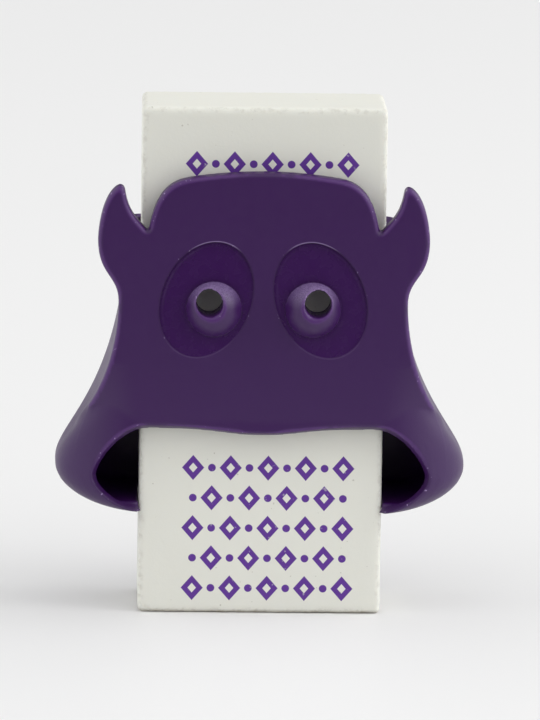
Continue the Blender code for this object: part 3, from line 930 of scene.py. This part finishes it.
class ERASER_OT_build_holder(bpy.types.Operator):
    """Model the purple holder: sleeve, cheeks, mask, eyes and mouth in one moulding"""

    bl_idname = "eraser.build_holder"
    bl_label = "Build Holder"

    def execute(self, context):
        sizes = context.scene.eraser_holder
        holder = draw_out("monster_head_holder", sleeve_rings(0, 0))
        combine(holder, make_mask(), 'UNION')
        for side in (-1, 1):
            combine(holder, make_socket(side), 'DIFFERENCE')
            combine(holder, make_eyeball(side), 'UNION')
        hollow = sleeve_rings(WALL, FLOOR_THICKNESS)
        above = [point + Vector((0, 0, OVERSHOOT)) for point in hollow[0]]
        combine(holder, draw_out("hollow", [above] + hollow), 'DIFFERENCE')
        combine(holder, make_mouth(), 'DIFFERENCE')
        for side in (-1, 1):
            combine(holder, make_pupil(side), 'DIFFERENCE')
        combine(holder, make_passage(sizes.slot_gap), 'DIFFERENCE')
        apply_modifier(holder, 'REMESH', mode='VOXEL', voxel_size=sizes.grain, adaptivity=0)
        smooth_where(holder, lambda place: True, sizes.softening)
        smooth_where(holder, self.is_face, sizes.face_softening)
        smooth_where(holder, self.is_jowl, sizes.jowl_softening)
        smooth_where(holder, self.is_wall, sizes.wall_softening)
        self.thin_out(holder, sizes.triangles)
        mark_edges(holder, HOLDER_SPAN)
        make_active(holder)
        bpy.ops.object.shade_smooth()
        holder.data.materials.clear()
        holder.data.materials.append(plastic_finish(context.scene.eraser_colours))
        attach(holder, "holder")
        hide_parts("monster_holder")
        return {'FINISHED'}

    @staticmethod
    def is_face(place):
        """Whether a place is on the mask's front or its rounded edge, off the eyes."""
        from_ball = math.hypot(abs(place.x) - EYEBALL_CENTRE.x, place.z - RIM - EYEBALL_CENTRE.y)
        return place.y < FACE_DEPTH - MASK_FRONT and from_ball > EYE_REACH

    @staticmethod
    def is_jowl(place):
        """Whether a place is where the mask's lower corners meet the cheeks, off the mouth."""
        height = place.z - RIM
        from_mouth = math.hypot(abs(place.x) - HALF_WIDTH, height - MOUTH_CORNER.y)
        return (MOUTH_CORNER.y < height < JOWL_ZONE_TOP and from_mouth > MOUTH_RIM_REACH
                and abs(place.x) > HALF_WIDTH + JOWL_ZONE_START and place.y < 0)

    @staticmethod
    def is_wall(place):
        """Whether a place is on the sleeve behind the mask, off its top and the cheeks' floor."""
        return place.y > -HALF_DEPTH and WALL_FOOT < place.z - RIM < WALL_TOP

    @staticmethod
    def thin_out(obj, most):
        """Take triangles away until no more than this many are left."""
        count = sum(len(face.vertices) - 2 for face in obj.data.polygons)
        if count > most:
            apply_modifier(obj, 'DECIMATE', ratio=most / count)


class ERASER_OT_build_block(bpy.types.Operator):
    """Model the white block with its crumbled edges and its print"""

    bl_idname = "eraser.build_block"
    bl_label = "Build Block"

    def execute(self, context):
        sizes = context.scene.eraser_block
        deselect()
        size = BLOCK_HIGH - BLOCK_LOW
        bpy.ops.mesh.primitive_cube_add(size=1, location=(BLOCK_HIGH + BLOCK_LOW) / 2, scale=size)
        block = named(bpy.context.object, "vinyl_eraser_block")
        apply_place(block)
        apply_modifier(block, 'BEVEL', width=sizes.edge, segments=EDGE_STEPS)
        apply_modifier(block, 'REMESH', mode='VOXEL', voxel_size=sizes.grain, adaptivity=0)
        smooth_where(block, lambda place: True, sizes.softening)
        self.crumble(block, sizes)
        mark_edges(block, BLOCK_SPAN)
        make_active(block)
        bpy.ops.object.shade_smooth()
        block.data.materials.clear()
        block.data.materials.append(vinyl_finish(context.scene.eraser_colours, sizes))
        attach(block, "eraser")
        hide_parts("eraser_block")
        return {'FINISHED'}

    @staticmethod
    def crumble(block, sizes):
        """Nick the block's edges where they are out of the holder, deeper in a few torn spots."""
        group = block.vertex_groups.new(name="edges")
        for vert in block.data.vertices:
            from_faces = sorted((HALF_WIDTH - abs(vert.co.x), HALF_DEPTH - abs(vert.co.y),
                                 vert.co.z, BLOCK_TOP - vert.co.z))
            near = max(0.0, 1 - max(0.0, from_faces[1]) / CRUMBLE_REACH)
            outside = vert.co.z > RIM + SLEEVE_HEIGHT or vert.co.z < RIM
            if near > 0 and outside:
                gap = min((vert.co - spot).length for spot in TORN_SPOTS)
                torn = max(0.0, 1 - gap / TORN_REACH)
                depth = CRUMBLE_ELSEWHERE + (1 - CRUMBLE_ELSEWHERE) * torn
                group.add([vert.index], near ** 2 * depth, 'REPLACE')
        texture = bpy.data.textures.new("crumbs", 'CLOUDS')
        texture.noise_scale = CRUMB_WIDTH
        texture.noise_depth = 2
        apply_modifier(block, 'DISPLACE', texture=texture, vertex_group="edges",
                       strength=CRUMB_SWING * sizes.crumble, mid_level=CRUMB_LEVEL)
        bpy.data.textures.remove(texture)


class ERASER_OT_set_stage(bpy.types.Operator):
    """Lay the white table and set up the camera and the soft studio lights"""

    bl_idname = "eraser.set_stage"
    bl_label = "Set Stage"

    def execute(self, context):
        settings = context.scene.eraser_stage
        self.lay_table(context.scene.eraser_colours, settings.table_size, settings.table_reach)
        self.add_camera(context.scene, settings)
        self.add_panel("right_softbox", settings.right_power, SOFTBOX_PLACE)
        self.add_panel("left_softbox", settings.left_power, SOFTBOX_PLACE * Vector((-1, 1, 1)))
        context.scene.world = self.make_room(settings)
        context.scene.view_settings.view_transform = 'Standard'
        return {'FINISHED'}

    @staticmethod
    def lay_table(colours, size, reach):
        """A table top that the block stands on near its front edge, without touching it."""
        deselect()
        bpy.ops.mesh.primitive_plane_add(size=size, location=(0, size / 2 - reach, -TABLE_GAP))
        table = named(bpy.context.object, "table_top")
        apply_place(table)
        table.data.materials.append(table_finish(colours))

    @staticmethod
    def add_camera(scene, settings):
        """A long lens that sees the object as the photograph does."""
        azimuth, elevation = settings.azimuth, settings.elevation
        back = Vector((math.sin(azimuth) * math.cos(elevation),
                       -math.cos(azimuth) * math.cos(elevation), math.sin(elevation)))
        right = Vector((0, 0, 1)).cross(back).normalized()
        up = back.cross(right)
        turn = Matrix((right, up, back)).transposed() @ Matrix.Rotation(settings.roll, 3, 'Z')
        deselect()
        bpy.ops.object.camera_add()
        camera = bpy.context.object
        camera.name = "photo_camera"
        middle = Vector((0, 0, settings.middle_height))
        camera.matrix_world = (Matrix.Translation(middle + back * settings.distance)
                               @ turn.to_4x4())
        lens = camera.data
        lens.sensor_fit = 'VERTICAL'
        lens.sensor_height = 36
        lens.lens = settings.focal_pixels / IMAGE_HEIGHT * lens.sensor_height
        lens.shift_x = (IMAGE_WIDTH / 2 - settings.centre_column) / IMAGE_HEIGHT
        lens.shift_y = (settings.centre_row - IMAGE_HEIGHT / 2) / IMAGE_HEIGHT
        lens.clip_start = 0.01
        scene.camera = camera

    @staticmethod
    def add_panel(name, power, place):
        """A soft rectangular light, aimed at the object."""
        deselect()
        bpy.ops.object.light_add(type='AREA', location=place)
        panel = bpy.context.object
        panel.name = name
        panel.data.shape = 'RECTANGLE'
        panel.data.size, panel.data.size_y = SOFTBOX_SIZE
        panel.data.energy = power
        panel.rotation_euler = place.to_track_quat('Z', 'Y').to_euler()

    @staticmethod
    def make_room(settings):
        """A room that is bright above and on both sides, and dark behind the camera."""
        room = bpy.data.worlds.new("room")
        room.use_nodes = True
        recipe = Recipe(room.node_tree, "Generated")
        above = recipe.z.larger(0) ** 2
        ahead = (0 - recipe.y).larger(0)
        strength = abs(recipe.x) * settings.side_glow + recipe.x * settings.side_lean
        strength = strength + above * (ahead * settings.front_glow + settings.sky_glow)
        background = room.node_tree.nodes["Background"]
        background.inputs["Color"].default_value = (1, 1, 1, 1)
        recipe.feed(background.inputs["Strength"], strength)
        return room


class VIEW3D_PT_monster_eraser(bpy.types.Panel):
    """Sidebar panel with the three steps and their settings"""

    bl_label = "Monster Head Eraser"
    bl_space_type = 'VIEW_3D'
    bl_region_type = 'UI'
    bl_category = "Eraser"

    def draw(self, context):
        scene = context.scene
        for operator, settings in (("eraser.build_holder", scene.eraser_holder),
                                   ("eraser.build_block", scene.eraser_block),
                                   ("eraser.set_stage", scene.eraser_stage)):
            self.layout.operator(operator)
            for name in settings.__annotations__:
                self.layout.prop(settings, name)
        for name in scene.eraser_colours.__annotations__:
            self.layout.prop(scene.eraser_colours, name)


CLASSES = (HolderSizes, BlockSizes, Colours, StageSettings, ERASER_OT_build_holder,
           ERASER_OT_build_block, ERASER_OT_set_stage, VIEW3D_PT_monster_eraser)
SETTINGS = {"eraser_holder": HolderSizes, "eraser_block": BlockSizes,
            "eraser_colours": Colours, "eraser_stage": StageSettings}


def register():
    """Make the operators, the panel and the settings known to Blender."""
    for cls in CLASSES:
        bpy.utils.register_class(cls)
    for name, group in SETTINGS.items():
        setattr(bpy.types.Scene, name, bpy.props.PointerProperty(type=group))


def unregister():
    """Take the operators, the panel and the settings away again."""
    for name in SETTINGS:
        delattr(bpy.types.Scene, name)
    for cls in reversed(CLASSES):
        bpy.utils.unregister_class(cls)


def main():
    """Build the block, the holder and the stage."""
    register()
    bpy.ops.eraser.build_block()
    bpy.ops.eraser.build_holder()
    bpy.ops.eraser.set_stage()


if __name__ == "__main__":
    main()
